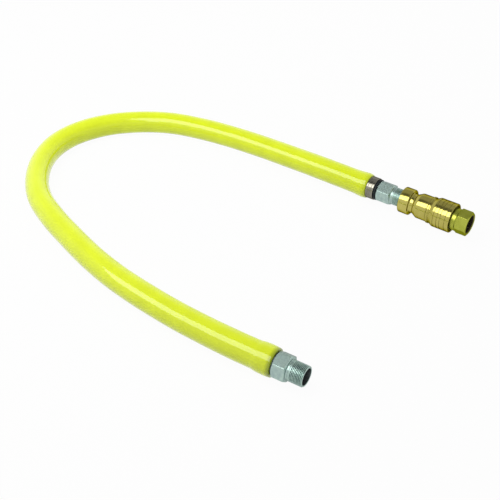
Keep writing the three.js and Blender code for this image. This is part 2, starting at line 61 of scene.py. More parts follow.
Colour = tuple[float, float, float]
Outline = Sequence[tuple[float, float, float]]
Ring = Callable[[float], tuple[float, float]]


class Body(Enum):
    """The frame's bodies that the pieces ride on."""

    HOSE = "hose"
    SWIVEL_END = "swivel_end"
    SOCKET = "socket"
    SLEEVE = "sleeve"


class Slot(Enum):
    """The record's material slots."""

    JACKET = "jacket"
    COLLAR = "collar_steel"
    ZINC = "zinc_plate"
    BRASS = "brass"
    PORT = "port_brass"
    RUBBER = "seal_rubber"
    SPRING = "spring_steel"


@dataclass(frozen=True)
class Axis:
    """A fitting's own axis: its origin in millimetres and its turn about Z in degrees."""

    x: float
    y: float
    z: float
    turn: float = 0.0

    def matrix(self) -> Matrix:
        """Returns the transform from millimetres along the axis to metres in the frame."""
        turn = Matrix.Rotation(math.radians(self.turn), 4, "Z")
        return Matrix.Scale(MM, 4) @ Matrix.Translation((self.x, self.y, self.z)) @ turn


INLET = Axis(-66.4, 184.55, 21.4)
OUTLET = Axis(28.1, -189.55, 18.7, 4.5)


@dataclass(frozen=True)
class Tag:
    """A piece's name, body, slot and the nodes it stands for; the slot is not read in this script."""

    name: str
    body: Body
    slot: Slot
    nodes: tuple[str, ...] = ()


class Tree:
    """A node tree under construction."""

    def __init__(self, tree: bpy.types.NodeTree) -> None:
        """Empties the tree.

        Args:
            tree: The node tree of a material, the world or a group.
        """
        self.tree = tree
        tree.nodes.clear()

    def add(self, kind: str, sockets: dict | None = None, **settings: object) -> bpy.types.Node:
        """Adds one node.

        Args:
            kind: The node's type name without its ShaderNode prefix.
            sockets: Input values or the sockets linked to them, by name or number.
            settings: The node's own properties.

        Returns:
            The new node.
        """
        prefix = "" if kind.startswith("NodeGroup") else "ShaderNode"
        node = self.tree.nodes.new(prefix + kind)
        for name, value in settings.items():
            setattr(node, name, value)
        for key, value in (sockets or {}).items():
            if isinstance(value, bpy.types.NodeSocket):
                self.tree.links.new(value, node.inputs[key])
            else:
                node.inputs[key].default_value = value
        return node

    def maths(self, operation: str, *values: object) -> bpy.types.NodeSocket:
        """Adds a Math node.

        Args:
            operation: The node's operation.
            values: Its inputs, numbers or sockets.

        Returns:
            The node's output.
        """
        return self.add("Math", dict(enumerate(values)), operation=operation).outputs[0]

    def scaled(self, vector: bpy.types.NodeSocket, scale: tuple) -> bpy.types.NodeSocket:
        """Multiplies a vector by three factors.

        Args:
            vector: The vector's socket.
            scale: The factors along x, y and z.

        Returns:
            The scaled vector.
        """
        return self.add("VectorMath", {0: vector, 1: scale}, operation="MULTIPLY").outputs[0]

    def blend(self, share: object, low: object, high: object) -> bpy.types.NodeSocket:
        """Mixes two colours.

        Args:
            share: The share of the second colour, a number or a socket.
            low: The colour at 0, as red, green and blue or a socket.
            high: The colour at 1, likewise.

        Returns:
            The mixed colour.
        """
        low, high = ((*end, 1.0) if isinstance(end, tuple) else end for end in (low, high))
        return self.add("Mix", {0: share, 6: low, 7: high}, data_type="RGBA").outputs[2]

    def ramp(self, value: bpy.types.NodeSocket, low: float, high: float,
             start: float, end: float) -> bpy.types.NodeSocket:
        """Maps a value to a range and stops it there.

        Args:
            value: The value's socket.
            low: The value that gives start.
            high: The value that gives end.
            start: The result at low.
            end: The result at high.

        Returns:
            The mapped value.
        """
        return self.add("MapRange", {0: value, 1: low, 2: high, 3: start, 4: end}).outputs[0]


def new_material(name: str) -> tuple[bpy.types.Material, Tree]:
    """Starts a node material.

    Args:
        name: Its name.

    Returns:
        The material and its empty node tree.
    """
    material = bpy.data.materials.new(name)
    material.use_nodes = True
    return material, Tree(material.node_tree)


def shader_group(name: str, inputs: dict[str, str],
                 outputs: tuple[str, ...]) -> tuple[Tree, dict, dict]:
    """Starts a shader node group.

    Args:
        name: The group's name.
        inputs: Socket kinds by input name.
        outputs: Names of the outputs, all numbers.

    Returns:
        The tree, its input sockets by name, and its output node's inputs by name.
    """
    group = bpy.data.node_groups.new(name, "ShaderNodeTree")
    for label, kind in inputs.items():
        group.interface.new_socket(label, in_out="INPUT", socket_type="NodeSocket" + kind)
    for label in outputs:
        group.interface.new_socket(label, in_out="OUTPUT", socket_type="NodeSocketFloat")
    tree = Tree(group)
    entry = tree.add("NodeGroupInput")
    way_out = tree.add("NodeGroupOutput")
    return tree, dict(entry.outputs.items()), dict(way_out.inputs.items())


def tooling_group() -> bpy.types.NodeTree:
    """Builds the shared marks of a cutting tool: fine rings along one axis of the given vector.

    Returns:
        The node group, with outputs Height and Shade.
    """
    inputs = {"Vector": "Vector", "Lines": "Float"}
    tree, inlet, outlet = shader_group("tooling_marks", inputs, ("Height", "Shade"))
    stretched = tree.scaled(inlet["Vector"], (1.0, 0.012, 0.012))
    fine = tree.add("TexNoise", {
        "Vector": stretched, "Scale": inlet["Lines"], "Detail": 2.0, "Roughness": 0.55,
    })
    quarter = tree.maths("MULTIPLY", inlet["Lines"], 0.22)
    coarse = tree.add("TexNoise", {"Vector": stretched, "Scale": quarter, "Detail": 1.0})
    both = tree.maths("MULTIPLY", fine.outputs[0], coarse.outputs[0])
    tree.tree.links.new(tree.maths("ADD", fine.outputs[0], both), outlet["Height"])
    tree.tree.links.new(tree.ramp(both, 0.14, 0.36, 0.0, 1.0), outlet["Shade"])
    return tree.tree


def patina_group() -> bpy.types.NodeTree:
    """Builds the shared cloudy patches and small specks of handled metal and rubber.

    Returns:
        The node group, with outputs Cloud and Specks.
    """
    inputs = {"Vector": "Vector", "Scale": "Float"}
    tree, inlet, outlet = shader_group("patina", inputs, ("Cloud", "Specks"))
    cloud = tree.add("TexNoise", {"Vector": inlet["Vector"], "Scale": inlet["Scale"], "Detail": 4.0})
    small = tree.maths("MULTIPLY", inlet["Scale"], 9.0)
    specks = tree.add("TexVoronoi", {"Vector": inlet["Vector"], "Scale": small})
    tree.tree.links.new(tree.ramp(cloud.outputs[0], 0.32, 0.68, 0.0, 1.0), outlet["Cloud"])
    tree.tree.links.new(tree.ramp(specks.outputs["Distance"], 0.08, 0.2, 1.0, 0.0), outlet["Specks"])
    return tree.tree


TOOLING = tooling_group()
PATINA = patina_group()


class Grain(Enum):
    """How the tool marks of a finish run, as factors on its Object coordinates."""

    TURNED = (1.0, 1.0, 1.0)
    DRAWN = (0.03, 60.0, 60.0)


@dataclass(frozen=True)
class Metal:
    """A metal finish with tool marks, cloudy patches and specks."""

    name: str
    bright: Colour
    dull: Colour
    roughness: tuple[float, float]
    lines: float
    relief: float
    patches: float = 90.0
    grain: Grain = Grain.TURNED
    edge: Colour = (0.55, 0.55, 0.55)
    turn: float = 0.0

    def material(self) -> bpy.types.Material:
        """Makes the finish.

        Returns:
            A new node material.
        """
        material, tree = new_material(self.name)
        place = tree.add("TexCoord").outputs["Object"]
        angle = (0.0, 0.0, -math.radians(self.turn))
        place = tree.add("Mapping", {"Vector": place, "Rotation": angle}).outputs[0]
        along = tree.scaled(place, self.grain.value)
        marks = tree.add("Group", {0: along, 1: self.lines}, node_tree=TOOLING)
        patina = tree.add("Group", {0: place, 1: self.patches}, node_tree=PATINA)
        cloud = tree.maths("MULTIPLY", patina.outputs["Cloud"], 0.7)
        dirt = tree.maths("MULTIPLY", patina.outputs["Specks"], 0.18)
        share = tree.maths("ADD", tree.maths("MULTIPLY", marks.outputs["Shade"], 0.3), cloud)
        share = tree.maths("ADD", share, dirt)
        bump = tree.add("Bump", {
            "Height": marks.outputs["Height"], "Distance": 0.0001, "Strength": self.relief,
        })
        shader = tree.add("BsdfPrincipled", {
            "Base Color": tree.blend(share, self.bright, self.dull),
            "Roughness": tree.ramp(share, 0.0, 1.0, *self.roughness), "Normal": bump.outputs[0],
            "Metallic": 1.0, "Specular Tint": (*self.edge, 1.0),
        })
        tree.add("OutputMaterial", {"Surface": shader.outputs[0]})
        return material


@dataclass(frozen=True)
class Rubber:
    """Black moulded rubber with a dusty bloom."""

    name: str = "moulded_rubber"
    deep: Colour = (0.003, 0.006, 0.008)
    bloom: Colour = (0.010, 0.015, 0.018)

    def material(self) -> bpy.types.Material:
        """Makes the finish.

        Returns:
            A new node material.
        """
        material, tree = new_material(self.name)
        place = tree.add("TexCoord").outputs["Object"]
        patina = tree.add("Group", {0: place, 1: 160.0}, node_tree=PATINA)
        share = tree.maths("MULTIPLY", patina.outputs["Cloud"], 0.8)
        pores = tree.add("TexNoise", {"Vector": place, "Scale": 2600.0, "Detail": 2.0})
        bump = tree.add("Bump", {"Height": pores.outputs[0], "Distance": 0.0001, "Strength": 0.35})
        shader = tree.add("BsdfPrincipled", {
            "Base Color": tree.blend(share, self.deep, self.bloom),
            "Roughness": tree.ramp(share, 0.0, 1.0, 0.5, 0.7), "Normal": bump.outputs[0], "IOR": 1.3,
        })
        tree.add("OutputMaterial", {"Surface": shader.outputs[0]})
        return material


@dataclass(frozen=True)
class Vinyl:
    """Glossy bright yellow-green dip-coated jacket, with soft waves, faint lengthwise lines and painted
    shade near both lips.
    """

    name: str = "jacket_vinyl"
    lit: Colour = (0.80, 0.93, 0.010)
    deep: Colour = (0.68, 0.79, 0.006)
    # painted shade: the colour the jacket is darkened to near both lips
    lip: Colour = (0.33, 0.41, 0.0015)

    def material(self) -> bpy.types.Material:
        """Makes the finish.

        Returns:
            A new node material.
        """
        material, tree = new_material(self.name)
        run = tree.add("Attribute", attribute_name=Jacket.RUN).outputs["Vector"]
        along = tree.scaled(run, (6.0, 30.0, 30.0))
        waves = tree.add("TexNoise", {"Vector": along, "Scale": 1.6, "Detail": 2.0})
        drawn = tree.scaled(run, (1.5, 160.0, 160.0))
        lines = tree.add("TexNoise", {"Vector": drawn, "Scale": 2.0, "Detail": 3.0})
        peel = tree.add("TexNoise", {"Vector": run, "Scale": 420.0, "Detail": 2.0})
        patina = tree.add("Group", {0: run, 1: 45.0}, node_tree=PATINA)
        tone = tree.maths("MULTIPLY", patina.outputs["Cloud"], 0.45)
        tone = tree.maths("ADD", tone, tree.maths("MULTIPLY", lines.outputs[0], 0.35))
        height = tree.maths("ADD", waves.outputs[0], tree.maths("MULTIPLY", lines.outputs[0], 0.25))
        height = tree.maths("ADD", height, tree.maths("MULTIPLY", peel.outputs[0], 0.05))
        bump = tree.add("Bump", {"Height": height, "Distance": 0.0008, "Strength": 0.35})
        # painted shade near both lips, stronger at the outlet end
        ends = tree.add("Attribute", attribute_name=Jacket.PAINTED_LIP_SHADE).outputs["Fac"]
        shader = tree.add("BsdfPrincipled", {
            "Base Color": tree.blend(ends, tree.blend(tone, self.lit, self.deep), self.lip),
            "Roughness": tree.ramp(patina.outputs["Cloud"], 0.0, 1.0, 0.3, 0.38),
            "Normal": bump.outputs[0], "IOR": 1.2,
            "Coat Weight": 1.0, "Coat Roughness": 0.07, "Coat IOR": 1.5,
        })
        tree.add("OutputMaterial", {"Surface": shader.outputs[0]})
        return material


@dataclass(frozen=True)
class Weave:
    """Stainless wire braid: crossing bundles of fine bright wires, with painted shade in the gaps between
    them.
    """

    name: str = "wire_braid"

    def material(self) -> bpy.types.Material:
        """Makes the finish.

        Returns:
            A new node material.
        """
        material, tree = new_material(self.name)
        place = tree.add("TexCoord").outputs["Object"]
        waves = []
        for way in (1.0, -1.0):
            lay = tree.add("Mapping", {"Vector": place, "Rotation": (0.6, 0.4, way * math.pi / 4)})
            wave = tree.add("TexWave", {"Vector": lay.outputs[0], "Scale": 260.0})
            waves.append(wave.outputs["Fac"])
        over = tree.maths("MAXIMUM", *waves)
        bump = tree.add("Bump", {"Height": over, "Distance": 0.0003, "Strength": 0.7})
        # the base colour is painted shade: dark in the gaps between bundles, bright on top
        shader = tree.add("BsdfPrincipled", {
            "Base Color": tree.blend(over, (0.2, 0.2, 0.2), (0.6, 0.61, 0.62)),
            "Roughness": tree.ramp(over, 0.0, 1.0, 0.5, 0.25), "Normal": bump.outputs[0],
            "Metallic": 1.0,
        })
        tree.add("OutputMaterial", {"Surface": shader.outputs[0]})
        return material


class Finishes:
    """Every finish of the hose, made once."""

    def __init__(self) -> None:
        """Makes the materials."""
        zinc = {"bright": (0.46, 0.60, 0.53), "dull": (0.32, 0.42, 0.41), "roughness": (0.3, 0.42),
                "lines": 1500.0, "relief": 0.15, "patches": 240.0}
        steel = {"roughness": (0.18, 0.32), "relief": 0.2}
        inside = {"roughness": (0.4, 0.6), "lines": 1200.0, "relief": 0.5}
        self.brass = Metal("turned_brass", (0.52, 0.465, 0.13), (0.38, 0.335, 0.07), (0.10, 0.17),
                           5200.0, 0.1, patches=45.0, edge=(0.15, 0.14, 0.09)).material()
        self.port = Metal("drawn_brass", (0.44, 0.47, 0.08), (0.32, 0.345, 0.045), (0.26, 0.38),
                          26.0, 0.2, grain=Grain.DRAWN, edge=(0.3, 0.3, 0.2)).material()
        self.zinc = Metal("zinc_plate", **zinc).material()
        self.outlet_zinc = Metal("outlet_zinc_plate", **zinc, turn=OUTLET.turn).material()
        self.collar = Metal("turned_stainless", (0.38, 0.365, 0.30), (0.17, 0.16, 0.13), (0.12, 0.2),
                            3600.0, 0.25, edge=(0.3, 0.3, 0.3)).material()
        self.spring = Metal("spring_steel", (0.55, 0.56, 0.57), (0.4, 0.41, 0.42),
                            lines=900.0, **steel).material()
        self.tube = Metal("drawn_stainless", (0.6, 0.6, 0.6), (0.45, 0.45, 0.45),
                          lines=30.0, grain=Grain.DRAWN, **steel).material()
        # dark metals that paint shade into bores, thread roots, the ferrule and the sleeve's hollow
        self.painted_shade_steel = Metal("bore_painted_shade_steel", (0.12, 0.14, 0.14), (0.04, 0.05, 0.055),
                                **inside).material()
        self.painted_shade_brass = Metal("bore_painted_shade_brass", (0.13, 0.11, 0.06), (0.05, 0.04, 0.03),
                                **inside).material()
        self.rubber = Rubber().material()
        self.vinyl = Vinyl().material()
        self.braid = Weave().material()


@dataclass(frozen=True)
class PaintedShadeInside:
    """Painted shade on a piece's inside, within a radius and past a start in millimetres.

    Where the piece has a male thread, its roots get the painted shade too.
    """

    radius: float
    material: bpy.types.Material
    start: float = 0.0
    thread: "TaperThread | None" = None

    def mark(self, bm: bmesh.types.BMesh) -> None:
        """Gives the faces inside the radius the piece's second material, a painted shade.

        Args:
            bm: The shape, along X in millimetres.
        """
        for face in bm.faces:
            if all(self.holds(vert.co.x, math.hypot(vert.co.y, vert.co.z)) for vert in face.verts):
                face.material_index = 1

    def holds(self, x: float, radius: float) -> bool:
        """Tells whether a corner at x and radius lies in the bore or in a thread root."""
        inside = radius < self.radius and x > self.start
        return inside or (self.thread is not None and self.thread.in_root(x, radius))


def linked(name: str, data: bpy.types.ID) -> bpy.types.Object:
    """Makes an object and links it to the scene.

    Args:
        name: Its name.
        data: Its mesh, camera or light.

    Returns:
        The object.
    """
    item = bpy.data.objects.new(name, data)
    bpy.context.scene.collection.objects.link(item)
    return item


def finished(bm: bmesh.types.BMesh, axis: Axis | None, tag: Tag, material: bpy.types.Material,
             crease: float = CREASE, bore: PaintedShadeInside | None = None) -> bpy.types.Object:
    """Makes a piece from a bmesh in millimetres, hangs it on its body and hides the CAD nodes it
    replaces.

    Args:
        bm: The shape, along X in millimetres; it is freed.
        axis: The axis the shape is moved to, or None where it is in place and in metres.
        tag: The piece's name, body, slot and replaced nodes.
        material: Its finish.
        crease: The angle between faces, in degrees, past which an edge stays sharp.
        bore: The inside that gets a second material of painted shade.

    Returns:
        The piece's object, at the origin with its place in its mesh.
    """
    if bore:
        bore.mark(bm)
    if axis:
        bmesh.ops.transform(bm, matrix=axis.matrix(), verts=bm.verts)
    mesh = bpy.data.meshes.new(tag.name)
    bm.to_mesh(mesh)
    bm.free()
    mesh.shade_smooth()
    mesh.set_sharp_from_angle(angle=math.radians(crease))
    mesh.materials.append(material)
    if bore:
        mesh.materials.append(bore.material)
    piece = linked(tag.name, mesh)
    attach(piece, tag.body.value)
    if tag.nodes:
        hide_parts(*tag.nodes)
    LOG.info("%s: %d faces, on %s", tag.name, len(mesh.polygons), tag.body.value)
    return piece


def turned(outline: Outline) -> bmesh.types.BMesh:
    """Turns a closed outline about X, as on a lathe.

    Args:
        outline: Corners as x, radius and edge rounding in millimetres.

    Returns:
        The closed shape in millimetres.
    """
    bm = bmesh.new()
    corners = [bm.verts.new((x, radius, 0.0)) for x, radius, _ in outline]
    for start, end in zip(corners, corners[1:] + corners[:1]):
        bm.edges.new((start, end))
    for size in sorted({rounding for *_, rounding in outline if rounding}):
        rounded = [corner for corner, point in zip(corners, outline) if point[2] == size]
        bmesh.ops.bevel(bm, geom=rounded, offset=size, offset_type="OFFSET", affect="VERTICES",
                        segments=3, profile=0.5, material=-1)
    bmesh.ops.spin(bm, geom=bm.verts[:] + bm.edges[:], cent=(0, 0, 0), axis=(1, 0, 0),
                   angle=2 * math.pi, steps=TURN_STEPS, use_merge=True)
    bmesh.ops.remove_doubles(bm, verts=bm.verts, dist=MERGE)
    bmesh.ops.recalc_face_normals(bm, faces=bm.faces)
    return bm


def ringed(rings: list[Ring], angles: list[float]) -> bmesh.types.BMesh:
    """Extrudes a ring of edges from section to section about X and closes the last on the first.

    Args:
        rings: One function a section, from an angle about X to x and radius in millimetres.
        angles: The angles of the corners of every ring.

    Returns:
        The closed shape in millimetres.
    """
    bm = bmesh.new()
    first = bmesh.ops.create_circle(bm, segments=len(angles), radius=1.0)["verts"]
    for vert, angle in zip(first, angles):
        x, radius = rings[0](angle)
        vert.co = (x, radius * math.cos(angle), radius * math.sin(angle))
    start = edges = bm.edges[:]
    for ring in rings[1:]:
        grown = bmesh.ops.extrude_edge_only(bm, edges=edges)["geom"]
        edges = [part for part in grown if isinstance(part, bmesh.types.BMEdge)]
        for vert in (part for part in grown if isinstance(part, bmesh.types.BMVert)):
            angle = math.atan2(vert.co.z, vert.co.y)
            x, radius = ring(angle)
            vert.co = (x, radius * math.cos(angle), radius * math.sin(angle))
    bmesh.ops.bridge_loops(bm, edges=start + edges)
    bmesh.ops.recalc_face_normals(bm, faces=bm.faces)
    return bm


def circle(x: float, radius: float) -> Ring:
    """Returns a plain round section at x in millimetres."""
    return lambda angle: (x, radius)


@dataclass(frozen=True)
class Hexagon:
    """A hexagon bar with both ends' corners turned off at 30 degrees, in millimetres."""

    start: float
    end: float
    across: float
    turn: float
    rounding: float = 0.7
    FACE_SHARE = 0.97
    OFFSETS = (-29.4, -28.6, -25, -20, -15, -10, -5, 0, 5, 10, 15, 20, 25, 28.6, 29.4, 30)

    def angles(self) -> list[float]:
        """Returns the ring angles, closer together at the corners."""
        corners = [self.turn + 60 * side for side in range(6)]
        return [math.radians(corner + offset) for corner in corners for offset in self.OFFSETS]

    def radius(self, angle: float) -> float:
        """Finds the bar's radius with its rounded corners.

        Args:
            angle: The angle about X.

        Returns:
            The radius in millimetres.
        """
        apothem = self.across / 2
        offset = abs((math.degrees(angle) - self.turn + 30) % 60 - 30)
        centre = (apothem - self.rounding) / math.cos(math.radians(30))
        if math.tan(math.radians(offset)) * apothem <= centre / 2:
            return apothem / math.cos(math.radians(offset))
        from_corner = math.radians(30 - offset)
        aside = centre * math.sin(from_corner)
        return centre * math.cos(from_corner) + math.sqrt(max(0.0, self.rounding ** 2 - aside ** 2))

    def rings(self) -> list[Ring]:
        """Lists the sections of the bar.

        Returns:
            The sections, from its first face to its last.
        """
        flat = self.FACE_SHARE * self.across / 2

        def cut(x: float, way: float) -> Ring:
            """Returns the curved edge of a turned-off end at x."""
            return lambda a: (x + way * (self.radius(a) - flat) * CHAMFER_SLOPE, self.radius(a))

        return [circle(self.start, flat), cut(self.start, 1.0),
                cut(self.end, -1.0), circle(self.end, flat)]


@dataclass(frozen=True)
class TaperThread:
    """A right-hand 3/4 inch taper pipe thread, 14 turns an inch, in millimetres."""

    start: float
    length: float = 18.7
    neck: float = 12.7
    crest: float = 13.34
    tip_crest: float = 12.9
    depth: float = 1.25
    flat: float = 0.12
    root_share: float = 0.8
    run_out: float = 1.5
    chamfer: float = 1.1
    stations: int = 12

    def groove(self, x: float, angle: float) -> float:
        """Returns how deep the thread's groove is at x and angle, from 0 to 1."""
        phase = (x / PITCH - angle / (2 * math.pi)) % 1
        return min(1.0, max(0.0, (abs(2 * phase - 1) - self.flat) / (1 - 2 * self.flat)))

    def crest_at(self, along: float) -> float:
        """Returns the radius over the ridges at a distance from the start."""
        return self.crest + (self.tip_crest - self.crest) * along / self.length

    def in_root(self, x: float, radius: float) -> bool:
        """Tells whether a corner lies in the root of the male thread, which gets painted shade.

        Args:
            x: The corner's place along the axis.
            radius: Its distance from the axis.

        Returns:
            True where it does.
        """
        along = x - self.start
        threaded = 0.0 < along < self.length - self.chamfer
        return threaded and radius < self.crest_at(along) - self.root_share * self.depth

    def shoulder(self, face: float) -> list[Ring]:
        """Lists the sections of the neck.

        Args:
            face: Where the hexagon before it ends.

        Returns:
            The sections, from the hexagon's end face to the thread.
        """
        steps = ((0.0, 0.6), (0.25, 0.15), (0.6, 0.0))
        corner = [circle(face + ahead, self.neck + out) for ahead, out in steps]
        return [*corner, circle(self.start, self.neck)]

    def rings(self) -> list[Ring]:
        """Returns the sections of a male thread, from its run-out to its chamfered tip."""
        count = round(self.length / PITCH * self.stations)
        return [self.section(self.length * k / count) for k in range(1, count + 1)]

    def section(self, along: float) -> Ring:
        """Makes one section of the male thread.

        Args:
            along: Its distance from the thread's start.

        Returns:
            The section.
        """
        run_in = min(1.0, along / (self.run_out * PITCH))
        crest = self.neck + (self.crest_at(along) - self.neck) * min(1.0, 2 * run_in)
        tip = self.tip_crest - max(0.0, along - self.length + self.chamfer)
        x = self.start + along
        return lambda a: (x, min(tip, crest - self.depth * run_in * self.groove(x, a)))

    def bore_rings(self, mouth: float, minor: float) -> list[Ring]:
        """Returns the sections of the matching female thread.

        Args:
            mouth: The radius of the countersink at the mouth.
            minor: The radius over the thread's ridges.

        Returns:
            The sections, from the mouth inwards.
        """
        count = round(self.length / PITCH * self.stations)
        return [self.bore_section(self.length * k / count, mouth, minor) for k in range(count)]

    def bore_section(self, deep: float, mouth: float, minor: float) -> Ring:
        """Makes one section of the female thread.

        Args:
            deep: Its depth below the mouth.
            mouth: The radius of the countersink at the mouth.
            minor: The radius over the thread's ridges.

        Returns:
            The section.
        """
        x = self.start - deep
        fade = min(1.0, (self.length - deep) / PITCH)
        return lambda a: (x, max(mouth - deep, minor + self.depth * fade * self.groove(x, a)))


def eased(share: float) -> float:
    """Returns a share from 0 to 1 with a soft start and a soft end."""
    return share * share * (3 - 2 * share)


@dataclass
class HoseLine:
    """The hose's centre line, from the inlet end to the outlet end, in metres."""

    radius: float = 17.5
    stretch: float = 26.0
    ground: tuple = (
        (-67, -195, 0.5), (-117, -195, 0), (-175, -192, 0), (-223, -187, 0), (-276, -177, 0),
        (-335, -161, 0), (-386, -145, 0), (-441, -121, 0), (-483, -88, 0), (-516, -45, 0),
        (-532, -1, 0), (-531, 43, 0), (-512, 89, 0), (-478, 127, 0), (-432, 157, 0),
        (-375, 174, 0), (-316, 183, 0), (-262, 187, 0), (-209, 187.5, 1), (-165, 186, 2.8),
    )
    samples: int = 60
    points: list[Vector] = field(init=False)
    marks: list[float] = field(init=False)

    def __post_init__(self) -> None:
        """Samples the line finely and marks each sample's distance."""
        self.points = self.sampled()
        self.marks = [0.0]
        for start, end in zip(self.points, self.points[1:]):
            self.marks.append(self.marks[-1] + (end - start).length)

    @property
    def length(self) -> float:
        """The line's length in metres."""
        return self.marks[-1]

    def knots(self) -> list[Vector]:
        """Lists the points that the line passes through.

        Returns:
            The points in metres, from the inlet end to the outlet end.
        """
        knots = []
        for axis in (INLET, OUTLET):
            end = Vector((axis.x, axis.y, axis.z))
            way = Matrix.Rotation(math.radians(axis.turn), 3, "Z") @ Vector((1, 0, 0))
            knots.append([end - way * self.stretch * k for k in range(3)])
        ground = [Vector((x, y, self.radius + lift)) for x, y, lift in reversed(self.ground)]
        return [knot * MM for knot in knots[0] + ground + knots[1][::-1]]

    def sampled(self) -> list[Vector]:
        """Follows a centripetal Catmull-Rom curve through the knots.

        Returns:
            Points along the curve, in metres.
        """
        knots = self.knots()
        knots = [2 * knots[0] - knots[1], *knots, 2 * knots[-1] - knots[-2]]
        points = []
        for before, start, end, after in zip(knots, knots[1:], knots[2:], knots[3:]):
            pairs = ((before, start), (start, end), (end, after))
            step = [math.sqrt((b - a).length) for a, b in pairs]
            leave = ((start - before) / step[0] - (end - before) / (step[0] + step[1])
                     + (end - start) / step[1]) * step[1]
            arrive = ((end - start) / step[1] - (after - start) / (step[1] + step[2])
                      + (after - end) / step[2]) * step[1]
            for k in range(self.samples):
                t = k / self.samples
                points.append(start * (2 * t ** 3 - 3 * t ** 2 + 1)
                              + leave * (t ** 3 - 2 * t ** 2 + t)
                              + end * (3 * t ** 2 - 2 * t ** 3) + arrive * (t ** 3 - t ** 2))
        points.append(knots[-2])
        return points

    def at(self, distance: float) -> tuple[Vector, Vector]:
        """Finds a place on the line.

        Args:
            distance: How far along the line, in metres.

        Returns:
            The point and the unit direction there.
        """
        low, high = 0, len(self.marks) - 1
        while high - low > 1:
            middle = (low + high) // 2
            low, high = (middle, high) if self.marks[middle] <= distance else (low, middle)
        share = (distance - self.marks[low]) / (self.marks[high] - self.marks[low])
        start, end = self.points[low], self.points[high]
        return start.lerp(end, share), (end - start).normalized()

    def sweep(self, stations: list[tuple[float, float]], sides: int) -> bmesh.types.BMesh:
        """Extrudes a round section along the line and closes the last section on the first.

        Args:
            stations: Distance along the line in metres and radius in millimetres of each section.
            sides: Corners round the section.

        Returns:
            The closed shape in metres, its corners in the order of the stations.
        """
        bm = bmesh.new()
        layer = bm.verts.layers.float.new("angle")
        loop = bmesh.ops.create_circle(bm, segments=sides, radius=1.0)["verts"]
        for k, vert in enumerate(loop):
            vert[layer] = 2 * math.pi * k / sides
        start = edges = bm.edges[:]
        verts = loop
        for number, (distance, radius) in enumerate(stations):
            if number:
                grown = bmesh.ops.extrude_edge_only(bm, edges=edges)["geom"]
                edges = [part for part in grown if isinstance(part, bmesh.types.BMEdge)]
                verts = [part for part in grown if isinstance(part, bmesh.types.BMVert)]
            point, way = self.at(distance)
            side = way.cross(Vector((0, 0, 1))).normalized()
            up = side.cross(way)
            for vert in verts:
                angle = vert[layer]
                vert.co = point + (side * math.cos(angle) + up * math.sin(angle)) * radius * MM
        bmesh.ops.bridge_loops(bm, edges=start + edges)
        bmesh.ops.recalc_face_normals(bm, faces=bm.faces)
        return bm


